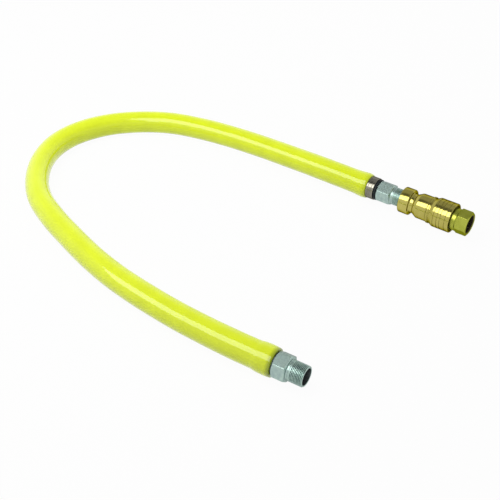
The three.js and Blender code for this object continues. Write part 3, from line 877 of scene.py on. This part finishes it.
@dataclass
class Jacket:
    """The vinyl jacket: a cord that flares over the end fittings and turns in at both lips."""

    line: HoseLine
    radius: float = 17.5
    bore: float = 14.5
    sides: int = 56
    coarse: float = 5.0
    fine: float = 0.75
    fine_count: int = 37
    lip: tuple = ((0.0, -1.6), (0.0, -0.55), (0.25, -0.12))
    inlet_flare: tuple = ((0, 17.35), (1, 17.6), (3, 18.15), (5, 18.5), (7, 18.75),
                          (9, 18.6), (13, 18.35), (17, 18.0), (21, 17.7), (27, 17.5))
    outlet_flare: tuple = ((0, 17.6), (1, 17.85), (3, 18.2), (5, 18.45), (8, 18.65), (16, 18.65),
                           (19, 18.5), (21, 18.27), (23, 17.97), (25, 17.6), (28, 17.5))
    waves: tuple = ((0.05, 37.0, 0.0), (0.04, 11.3, 1.0))
    # painted shade near the lips: full within 0.5 mm of an end, gone by 6.5 mm; strengths at the inlet
    # and the outlet end
    lip_shade: tuple = (0.5, 6.5)
    lip_shade_strength: tuple = (0.35, 0.9)
    path_steps: int = 240
    RUN = "run"
    PAINTED_LIP_SHADE = "lip"

    def stations(self) -> list[tuple[float, float]]:
        """Lists the sections of the outside, then those of the bore back to the start.

        Returns:
            Distance along the line in metres and radius in millimetres of each section.
        """
        length = self.line.length / MM
        fine = [k * self.fine for k in range(1, self.fine_count + 1)]
        steps = round((length - 2 * fine[-1]) / self.coarse)
        middle = [fine[-1] + (length - 2 * fine[-1]) * k / steps for k in range(1, steps)]
        outside = [*fine, *middle, *(length - mark for mark in reversed(fine))]
        first, last = self.skin(self.inlet_flare, 0.0), self.skin(self.outlet_flare, 0.0)
        sections = [(mark, first + drop) for mark, drop in self.lip]
        sections += [(mark, self.outer(mark, length)) for mark in outside]
        sections += [(length - mark, last + drop) for mark, drop in reversed(self.lip)]
        step = 2 * self.coarse
        inner = [length - k * step for k in range(int(length / step))] + [0.0]
        sections += [(mark, self.bore) for mark in inner]
        return [(mark * MM, radius) for mark, radius in sections]

    def skin(self, flare: tuple, mark: float) -> float:
        """Finds the outer radius near an end, without its waves.

        Args:
            flare: Distance from the end and radius of each of that end's sections.
            mark: The distance from the end.

        Returns:
            The radius.
        """
        for (near, low), (far, high) in zip(flare, flare[1:]):
            if mark <= far:
                share = (mark - near) / (far - near)
                return low + (high - low) * (eased(share) if high < low else share)
        return self.radius

    def outer(self, mark: float, length: float) -> float:
        """Finds the outer radius.

        Args:
            mark: The distance along the jacket.
            length: The jacket's length.

        Returns:
            The radius.
        """
        wave = sum(height * math.sin(mark / span + start) for height, span, start in self.waves)
        ends = self.skin(self.inlet_flare, mark), self.skin(self.outlet_flare, length - mark)
        return max(ends) + wave

    def build(self, vinyl: bpy.types.Material) -> None:
        """Args:
            vinyl: Its finish.
        """
        bm = self.line.sweep(self.stations(), self.sides)
        tag = Tag("hose_jacket_skin", Body.HOSE, Slot.JACKET, ("hose_jacket",))
        piece = finished(bm, None, tag, vinyl, crease=50.0)
        self.mark_run(piece.data)
        step = self.line.length / self.path_steps
        path = [tuple(self.line.at(step * k)[0]) for k in range(self.path_steps + 1)]
        LOG.info("jacket length %.3f m", self.line.length)

    def mark_run(self, mesh: bpy.types.Mesh) -> None:
        """Stores each corner's distance along the hose, its offset from the line and its share of painted
        shade near a lip.

        Args:
            mesh: The jacket's mesh, in metres.
        """
        for name, kind in ((self.RUN, "FLOAT_VECTOR"), (self.PAINTED_LIP_SHADE, "FLOAT")):
            mesh.attributes.new(name, kind, "POINT")
        run, lip = mesh.attributes[self.RUN], mesh.attributes[self.PAINTED_LIP_SHADE]
        marks = [distance for distance, _ in self.stations()]
        for index, vert in enumerate(mesh.vertices):
            distance = marks[index // self.sides]
            point, way = self.line.at(distance)
            side = way.cross(Vector((0, 0, 1))).normalized()
            offset = vert.co - point
            run.data[index].vector = (distance, offset.dot(side), offset.z)
            # painted shade, strongest at the ends and gone a few millimetres in
            from_end = min(distance, self.line.length - distance) / MM
            share = (self.lip_shade[1] - from_end) / (self.lip_shade[1] - self.lip_shade[0])
            strength = self.lip_shade_strength[distance > self.line.length / 2]
            lip.data[index].value = strength * eased(min(1.0, max(0.0, share)))


@dataclass
class OutletEnd:
    """The ferrule and the steel nipple with its male thread at the outlet end, in millimetres."""

    bore: float = 10.3
    shank: float = 12.0
    ferrule: float = 14.2
    hexagon: Hexagon = Hexagon(1.3, 18.8, 30.5, -11.5)
    neck_length: float = 2.5

    def build(self, looks: Finishes) -> None:
        """Builds both pieces.

        Args:
            looks: The finishes.
        """
        inner = self.shank + GAP
        ferrule = turned([(-25.7, self.bore, 0.2), (-25.7, self.ferrule, 0.3), (1.0, self.ferrule, 0.25),
                          (1.0, inner, 0.15), (-12.0, inner, 0), (-12.0, self.bore, 0.1)])
        # the whole ferrule gets dark painted-shade steel, a painted shadow line between the jacket and
        # the hexagon
        finished(ferrule, OUTLET, Tag("outlet_ferrule", Body.HOSE, Slot.COLLAR, ("ferrule_outlet",)),
                 looks.painted_shade_steel)
        thread = TaperThread(self.hexagon.end + self.neck_length)
        tip = thread.start + thread.length
        rings = [circle(-11.7, self.bore), circle(-11.7, self.shank),
                 circle(self.hexagon.start, self.shank), *self.hexagon.rings(),
                 *thread.shoulder(self.hexagon.end), *thread.rings(),
                 circle(tip, self.bore + 0.5), circle(tip - 0.15, self.bore + 0.15),
                 circle(tip - 0.5, self.bore), circle(20.0, self.bore)]
        nipple = ringed(rings, self.hexagon.angles())
        # painted shade in the bore and in the thread's roots
        finished(nipple, OUTLET, Tag("outlet_nipple", Body.HOSE, Slot.ZINC, ("nipple_outlet",)),
                 looks.outlet_zinc, bore=PaintedShadeInside(self.bore + 0.2, looks.painted_shade_steel, thread=thread))


@dataclass
class SwivelEnd:
    """The bright collar, the dust ring and the steel nipple that turns in the collar, in millimetres."""

    tube_bore: float = 10.3
    bore: float = 8.6
    shank: float = 11.6
    collar: float = 16.4
    ring: float = 15.4
    hexagon: Hexagon = Hexagon(16.6, 38.5, 28.2, 1.5)
    neck_length: float = 2.5
    seal_grooves: tuple = ((-6.0, 0.95, 10.0), (-2.0, 0.95, 10.0), (6.0, 1.25, 10.5))

    def build(self, looks: Finishes) -> None:
        """Builds the three pieces.

        Args:
            looks: The finishes.
        """
        self.build_collar(looks.collar)
        inner = self.shank + GAP
        ring = turned([(12.3, inner, 0.2), (12.3, self.ring, 0.9), (14.3, self.ring + 0.25, 0.6),
                       (16.3, self.ring, 0.9), (16.3, inner, 0.2)])
        finished(ring, INLET, Tag("dust_ring_rubber", Body.SWIVEL_END, Slot.RUBBER, ("dust_ring",)),
                 looks.rubber)
        self.build_nipple(looks.zinc)

    def build_collar(self, steel: bpy.types.Material) -> None:
        """Builds the collar with its shallow turned grooves and the groove of the swivel's wire.

        Args:
            steel: Its finish.
        """
        inner = self.shank + GAP
        outline = [(-25.7, self.tube_bore, 0.2), (-25.7, 14.2, 0.3), (0.3, 14.2, 0),
                   (0.3, self.collar, 0.5)]
        for x in (3.4, 8.6):
            outline += [(x - 0.35, self.collar, 0.1), (x, self.collar - 0.3, 0.1),
                        (x + 0.35, self.collar, 0.1)]
        outline += [(12.0, self.collar, 0.6), (12.0, inner, 0.3), (7.25, inner, 0), (7.25, 13.0, 0.3),
                    (4.75, 13.0, 0.3), (4.75, inner, 0), (-9.2, inner, 0), (-9.2, self.tube_bore, 0.1)]
        finished(turned(outline), INLET,
                 Tag("inlet_collar", Body.HOSE, Slot.COLLAR, ("collar_inlet",)), steel)

    def build_nipple(self, zinc: bpy.types.Material) -> None:
        """Builds the nipple with its seal grooves, hexagon and male thread.

        Args:
            zinc: Its finish.
        """
        thread = TaperThread(self.hexagon.end + self.neck_length, length=22.0)
        tip = thread.start + thread.length
        rings = [circle(-8.9, self.bore), circle(-8.9, self.shank)]
        for middle, half, floor in self.seal_grooves:
            rings += [circle(middle - half, self.shank), circle(middle - half, floor),
                      circle(middle + half, floor), circle(middle + half, self.shank)]
        rings += [circle(self.hexagon.start, self.shank), *self.hexagon.rings(),
                  *thread.shoulder(self.hexagon.end), *thread.rings(),
                  circle(tip, self.bore + 0.4), circle(tip - 0.4, self.bore)]
        nipple = ringed(rings, self.hexagon.angles())
        finished(nipple, INLET, Tag("inlet_nipple", Body.SWIVEL_END, Slot.ZINC, ("nipple_inlet",)),
                 zinc)


@dataclass
class Plug:
    """The brass plug, screwed on the swivel's nipple and held in the socket, in millimetres."""

    outline: tuple = (
        (54.5, 13.64, 0), (54.5, 19.0, 1.0), (69.5, 19.0, 1.2), (69.5, 14.9, 0.5), (70.4, 14.4, 0.5),
        (75.0, 14.4, 1.2), (82.1, 18.4, 1.2), (98.0, 18.4, 0.4), (98.0, 12.2, 0.4), (104.6, 12.2, 0.3),
        (106.3, 10.5, 0.6), (108.7, 10.5, 0.6), (110.4, 12.2, 0.3), (117.4, 12.2, 1.2),
        (117.4, 7.2, 0.4), (63.3, 7.2, 0.2), (63.3, 13.2, 0),
    )

    def build(self, looks: Finishes) -> None:
        """Builds the plug with the finishes given."""
        finished(turned(self.outline), INLET,
                 Tag("coupling_plug", Body.SWIVEL_END, Slot.BRASS, ("plug_body",)), looks.brass)


@dataclass
class Socket:
    """The brass socket: barrel, balls, rings, spring, port piece and valve guide, in millimetres."""

    barrel: float = 15.6
    bore: float = 12.5
    ball: float = 2.4
    ball_x: float = 107.5
    balls: int = 6
    hexagon: Hexagon = Hexagon(141.2, 158.5, 31.6, -22.2, 0.6)
    port_bore: float = 12.4
    wire: float = 0.62
    coils: int = 4
    coil_steps: int = 40
    coil_radius: float = 17.25
    coil_span: tuple[float, float] = (113.8, 129.5)
    seat: float = 129.8

    def build(self, looks: Finishes) -> None:
        """Builds the socket's pieces.

        Args:
            looks: The finishes.
        """
        self.build_barrel(looks.brass)
        self.build_balls(looks.spring)
        self.build_rings(looks.spring)
        self.build_spring(looks.spring)
        self.build_port(looks)

    def build_barrel(self, brass: bpy.types.Material) -> None:
        """Builds the barrel with its ring grooves, seal groove and ball holes.

        Args:
            brass: Its finish.
        """
        floor = 14.6
        outline = [(98.5, self.bore + 0.5, 0), (98.5, self.barrel, 0.4)]
        for x in (103.0, 130.5):
            outline += [(x - 0.8, self.barrel, 0), (x - 0.8, floor, 0),
                        (x + 0.8, floor, 0), (x + 0.8, self.barrel, 0)]
        outline += [(133.2, self.barrel, 0.3), (133.2, 13.9, 0), (120.4, 13.9, 0.2), (120.4, 8.7, 0),
                    (117.9, 8.7, 0), (117.9, self.bore, 0.2), (114.6, self.bore, 0),
                    (114.6, 14.4, 0.2), (112.4, 14.4, 0.2), (112.4, self.bore, 0), (99.0, self.bore, 0)]
        piece = finished(turned(outline), INLET,
                         Tag("socket_shell", Body.SOCKET, Slot.BRASS, ("socket_barrel",)), brass)
        drills = bmesh.new()
        for turn in self.ball_turns():
            bmesh.ops.create_cone(drills, cap_ends=True, segments=32, radius1=self.ball + GAP,
                                  radius2=self.ball + GAP, depth=8.0,
                                  matrix=turn @ Matrix.Translation((self.ball_x, 0.0, 14.0)))
        drill(piece, drills, INLET)

    def ball_turns(self) -> list[Matrix]:
        """Returns the turn about X from straight up to each ball."""
        step = 2 * math.pi / self.balls
        return [Matrix.Rotation(step * (k + 0.5) - math.pi / 2, 4, "X") for k in range(self.balls)]

    def build_balls(self, steel: bpy.types.Material) -> None:
        """Builds the locking balls as one piece.

        Args:
            steel: Their finish.
        """
        bm = bmesh.new()
        for turn in self.ball_turns():
            place = turn @ Matrix.Translation((self.ball_x, 0.0, self.barrel - self.ball))
            bmesh.ops.create_uvsphere(bm, u_segments=32, v_segments=20, radius=self.ball, matrix=place)
        nodes = tuple(f"lock_ball_{k + 1}" for k in range(self.balls))
        finished(bm, INLET, Tag("lock_balls", Body.SOCKET, Slot.SPRING, nodes), steel)

    def build_rings(self, steel: bpy.types.Material) -> None:
        """Builds the stop ring and the spring's seat.

        Args:
            steel: Their finish.
        """
        for name, node, x, outer in (("sleeve_stop_ring", "stop_ring", 102.3, 17.3),
                                     ("spring_seat_ring", "spring_seat", self.seat, 18.35)):
            ring = turned([(x, 14.9, 0.1), (x, outer, 0.3), (x + 1.4, outer, 0.3), (x + 1.4, 14.9, 0.1)])
            finished(ring, INLET, Tag(name, Body.SOCKET, Slot.SPRING, (node,)), steel)

    def build_spring(self, steel: bpy.types.Material) -> None:
        """Builds the coiled sleeve spring.

        Args:
            steel: Its finish.
        """
        start, end = self.coil_span
        bm = bmesh.new()
        section = bmesh.ops.create_circle(bm, cap_ends=False, segments=12, radius=self.wire)["verts"]
        place = Matrix.Translation((start + self.wire, self.coil_radius, 0.0))
        bmesh.ops.transform(bm, matrix=place, verts=section)
        steps = self.coils * self.coil_steps
        rise = (end - start - 2 * self.wire) / steps
        bmesh.ops.spin(bm, geom=bm.verts[:] + bm.edges[:], cent=(0, 0, 0), axis=(1, 0, 0),
                       dvec=(rise, 0, 0), angle=2 * math.pi * self.coils, steps=steps)
        bmesh.ops.remove_doubles(bm, verts=bm.verts, dist=MERGE)
        bmesh.ops.holes_fill(bm, edges=[edge for edge in bm.edges if edge.is_boundary], sides=0)
        bmesh.ops.recalc_face_normals(bm, faces=bm.faces)
        tag = Tag("sleeve_coil", Body.SOCKET, Slot.SPRING, ("sleeve_spring",))
        spring = finished(bm, INLET, tag, steel)
        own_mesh(spring)

    def build_port(self, looks: Finishes) -> None:
        """Builds the port piece with its hexagon and female thread.

        Args:
            looks: The finishes.
        """
        thread = TaperThread(self.hexagon.end, length=12.6, depth=1.15)
        rings = [circle(120.7, 11.6), circle(120.7, 13.6), circle(133.5, 13.6), circle(133.5, 15.7),
                 circle(133.8, 16.0), circle(140.7, 16.0), circle(141.2, 15.6), *self.hexagon.rings(),
                 circle(self.hexagon.end, self.port_bore + 1.75),
                 circle(self.hexagon.end - 0.1, self.port_bore + 1.5),
                 *thread.bore_rings(self.port_bore + 1.4, self.port_bore)[3:],
                 circle(145.9, self.port_bore), circle(143.5, self.port_bore), circle(143.5, 11.6)]
        bm = ringed(rings, self.hexagon.angles())
        # painted shade in the port's threaded bore
        finished(bm, INLET, Tag("port_hexagon", Body.SOCKET, Slot.PORT, ("port_piece",)), looks.port,
                 bore=PaintedShadeInside(self.port_bore + 1.3, looks.painted_shade_brass))


@dataclass
class ValveParts:
    """The round plate that carries the shut-off valve's stem in the port, in millimetres."""

    radius: float = 12.1
    holes: int = 5
    hole: float = 2.9
    hole_ring: float = 7.26

    def build(self, looks: Finishes) -> None:
        """Builds the plate.

        Args:
            looks: The finishes.
        """
        plate = turned([(143.8, 2.3, 0.1), (143.8, self.radius, 0.3),
                        (146.0, self.radius, 0.4), (146.0, 2.3, 0.3)])
        piece = finished(plate, INLET, Tag("valve_plate", Body.SOCKET, Slot.BRASS, ("valve_guide",)),
                         looks.brass)
        drills = bmesh.new()
        quarter = Matrix.Rotation(math.pi / 2, 4, "Y")
        for k in range(self.holes):
            turn = Matrix.Rotation(2 * math.pi * k / self.holes, 4, "X")
            place = turn @ Matrix.Translation((145.0, 0.0, self.hole_ring)) @ quarter
            bmesh.ops.create_cone(drills, cap_ends=True, segments=32, radius1=self.hole,
                                  radius2=self.hole, depth=8.0, matrix=place)
        drill(piece, drills, INLET)


def drill(piece: bpy.types.Object, drills: bmesh.types.BMesh, axis: Axis) -> None:
    """Cuts holes in a piece and keeps the result in its mesh.

    Args:
        piece: The piece's object.
        drills: The drilling bits, in millimetres along the axis; it is freed.
        axis: The axis that the bits lie on.
    """
    bmesh.ops.transform(drills, matrix=axis.matrix(), verts=drills.verts)
    bmesh.ops.recalc_face_normals(drills, faces=drills.faces)
    mesh = bpy.data.meshes.new("bits")
    drills.to_mesh(mesh)
    drills.free()
    bits = linked("bits", mesh)
    cut = piece.modifiers.new("cut", "BOOLEAN")
    cut.operation = "DIFFERENCE"
    cut.solver = "EXACT"
    cut.object = bits
    graph = bpy.context.evaluated_depsgraph_get()
    shaped = bpy.data.meshes.new_from_object(piece.evaluated_get(graph))
    piece.modifiers.remove(cut)
    piece.data = shaped
    shaped.name = piece.name
    shaped.set_sharp_from_angle(angle=math.radians(CREASE))
    bpy.data.objects.remove(bits)
    bpy.data.meshes.remove(mesh)


@dataclass
class LockSleeve:
    """The brass sleeve that slides back to free the plug, in millimetres."""

    start: float = 98.5
    end: float = 134.5
    radius: float = 21.4
    band: float = 19.45
    hollow: float = 18.65
    grooves: tuple = (111.4, 117.1, 121.5, 128.8)

    def build(self, looks: Finishes) -> None:
        """Builds the sleeve with its step, grip grooves and its hollow rear darkened with painted shade.

        Args:
            looks: The finishes.
        """
        outline = [(self.start, 17.6, 0.2), (self.start, self.band, 0.5), (101.6, self.band, 0.3),
                   (101.6, self.band - 1.0, 0.2), (102.8, self.band - 1.0, 0.2),
                   (108.5, self.radius, 0.6)]
        for x in self.grooves:
            outline += [(x - 0.55, self.radius, 0.15), (x - 0.45, self.radius - 0.9, 0.1),
                        (x + 0.45, self.radius - 0.9, 0.1), (x + 0.55, self.radius, 0.15)]
        outline += [(self.end, self.radius, 1.1), (self.end, self.hollow, 0.3), (113.5, self.hollow, 0.4),
                    (113.5, 15.9, 0.2), (104.0, 15.9, 0.4), (104.0, 17.6, 0)]
        # painted shade inside the hollow rear
        finished(turned(outline), INLET,
                 Tag("lock_sleeve_shell", Body.SLEEVE, Slot.BRASS, ("lock_sleeve",)), looks.brass,
                 bore=PaintedShadeInside(self.hollow + 0.1, looks.painted_shade_brass, self.end - 12.0))


def dress_nodes(looks: Finishes) -> None:
    """Gives each CAD node that stays its finish.

    Args:
        looks: The finishes.
    """
    finishes = {
        "hose_braid": looks.braid, "hose_tube": looks.tube, "swivel_wire": looks.spring,
        "swivel_seal_1": looks.rubber, "swivel_seal_2": looks.rubber, "plug_seal": looks.rubber,
        "valve_seal": looks.rubber, "valve_poppet": looks.brass, "valve_spring": looks.spring,
    }
    for name, material in finishes.items():
        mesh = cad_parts[name].data
        mesh.materials.clear()
        mesh.materials.append(material)
    LOG.info("dressed %d nodes", len(finishes))


@dataclass(frozen=True)
class Lamp:
    """A large soft lamp: its centre and size in metres, its power in watts and what it shows in.

    It shows in reflections only where it is glossy, and lights the surfaces only where it is not.
    """

    name: str
    place: tuple[float, float, float]
    size: tuple[float, float]
    power: float
    glossy: bool = False


@dataclass
class Studio:
    """Camera, white floor, three lamps and white surroundings."""

    place: tuple[float, float, float] = (0.39466, -0.73076, 0.69157)
    heading: tuple[float, float] = (-0.5974, 0.8020)
    pitch: float = 38.0
    view_angle: float = 33.897
    floor_size: float = 6.0
    floor_bounce: Colour = (0.72, 0.72, 0.72)
    floor_glow: float = 0.96
    daylight: float = 0.48
    dark_way: tuple[float, float, float] = (-0.3, -0.25, 0.92)
    lamps: tuple[Lamp, ...] = (
        Lamp("soft_light", (-0.7, -0.45, 1.15), (1.1, 0.7), 10.5),
        Lamp("fill_light", (-0.7, 1.0, 1.1), (1.4, 0.8), 4.5),
        Lamp("soft_box", (-1.0, -1.13, 1.47), (2.4, 1.2), 33.0, glossy=True),
    )

    def add_camera(self) -> None:
        """Adds the camera at the photograph's view."""
        data = bpy.data.cameras.new("camera")
        data.sensor_width = 36.0
        data.lens = data.sensor_width / 2 / math.tan(math.radians(self.view_angle / 2))
        camera = linked("camera", data)
        level, down = math.cos(math.radians(self.pitch)), math.sin(math.radians(self.pitch))
        way = Vector((self.heading[0] * level, self.heading[1] * level, -down))
        camera.location = self.place
        camera.rotation_euler = way.to_track_quat("-Z", "Y").to_euler()
        bpy.context.scene.camera = camera

    def add_floor(self) -> None:
        """Adds the floor, white to the camera and in reflections, with the object's faint shadow."""
        bm = bmesh.new()
        bmesh.ops.create_grid(bm, x_segments=1, y_segments=1, size=self.floor_size / 2)
        mesh = bpy.data.meshes.new("floor")
        bm.to_mesh(mesh)
        bm.free()
        linked("floor", mesh)
        material, tree = new_material("floor")
        matt = tree.add("BsdfDiffuse", {"Color": (*self.floor_bounce, 1.0)})
        glow = tree.add("Emission", {"Color": WHITE, "Strength": 1.0})
        share = tree.maths("MULTIPLY", self.seen_rays(tree), self.floor_glow)
        surface = tree.add("MixShader", {0: share, 1: matt.outputs[0], 2: glow.outputs[0]})
        tree.add("OutputMaterial", {"Surface": surface.outputs[0]})
        mesh.materials.append(material)

    @staticmethod
    def seen_rays(tree: Tree) -> bpy.types.NodeSocket:
        """Tells the rays that are seen, directly or in a reflection, from those that light.

        Args:
            tree: The node tree that the nodes are added to.

        Returns:
            A socket with 1 for camera, glossy and transmission rays and 0 for others.
        """
        rays = tree.add("LightPath").outputs
        seen = tree.maths("MAXIMUM", rays["Is Camera Ray"], rays["Is Glossy Ray"])
        return tree.maths("MAXIMUM", seen, rays["Is Transmission Ray"])

    def add_world(self) -> None:
        """Adds white surroundings, with a ceiling that is darker where it is seen or reflected."""
        world = bpy.data.worlds.new("surroundings")
        bpy.context.scene.world = world
        world.use_nodes = True
        tree = Tree(world.node_tree)
        way = tree.add("TexCoord").outputs["Generated"]
        height = tree.add("SeparateXYZ", {0: way}).outputs["Z"]
        near = tree.add("VectorMath", {0: way, 1: self.dark_way}, operation="DOT_PRODUCT")
        patch = tree.ramp(near.outputs["Value"], 0.9, 0.98, 1.0, 0.36)
        ceiling = tree.maths("MULTIPLY", tree.ramp(height, 0.4, 0.7, 1.0, 0.5), patch)
        shown = tree.add("Background", {"Color": ceiling, "Strength": 1.0})
        soft = tree.add("Background", {"Color": WHITE, "Strength": self.daylight})
        seen = self.seen_rays(tree)
        both = tree.add("MixShader", {0: seen, 1: soft.outputs[0], 2: shown.outputs[0]})
        tree.add("OutputWorld", {"Surface": both.outputs[0]})

    @staticmethod
    def add_lamp(lamp: Lamp) -> None:
        """Adds one lamp.

        Args:
            lamp: Its sizes.
        """
        data = bpy.data.lights.new(lamp.name, "AREA")
        data.shape = "RECTANGLE"
        data.size, data.size_y = lamp.size
        data.energy = lamp.power
        item = linked(lamp.name, data)
        item.location = lamp.place
        way = Vector((lamp.place[0] - 0.2, 0.1, 0.0)) - Vector(lamp.place)
        item.rotation_euler = way.to_track_quat("-Z", "Y").to_euler()
        item.visible_glossy, item.visible_diffuse = lamp.glossy, not lamp.glossy

    def build(self) -> None:
        """Adds the floor, the surroundings and the lamps."""
        self.add_floor()
        self.add_world()
        for lamp in self.lamps:
            self.add_lamp(lamp)
        bpy.context.scene.view_settings.view_transform = "Standard"


def main() -> None:
    """Builds the scene."""
    logging.basicConfig(level=logging.INFO, format="%(name)s: %(message)s")
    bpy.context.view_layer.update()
    studio = Studio()
    studio.add_camera()
    looks = Finishes()
    Jacket(HoseLine()).build(looks.vinyl)
    for group in (OutletEnd(), SwivelEnd(), Plug(), Socket(), ValveParts(), LockSleeve()):
        group.build(looks)
    dress_nodes(looks)
    studio.build()


if __name__ == "__main__":
    main()
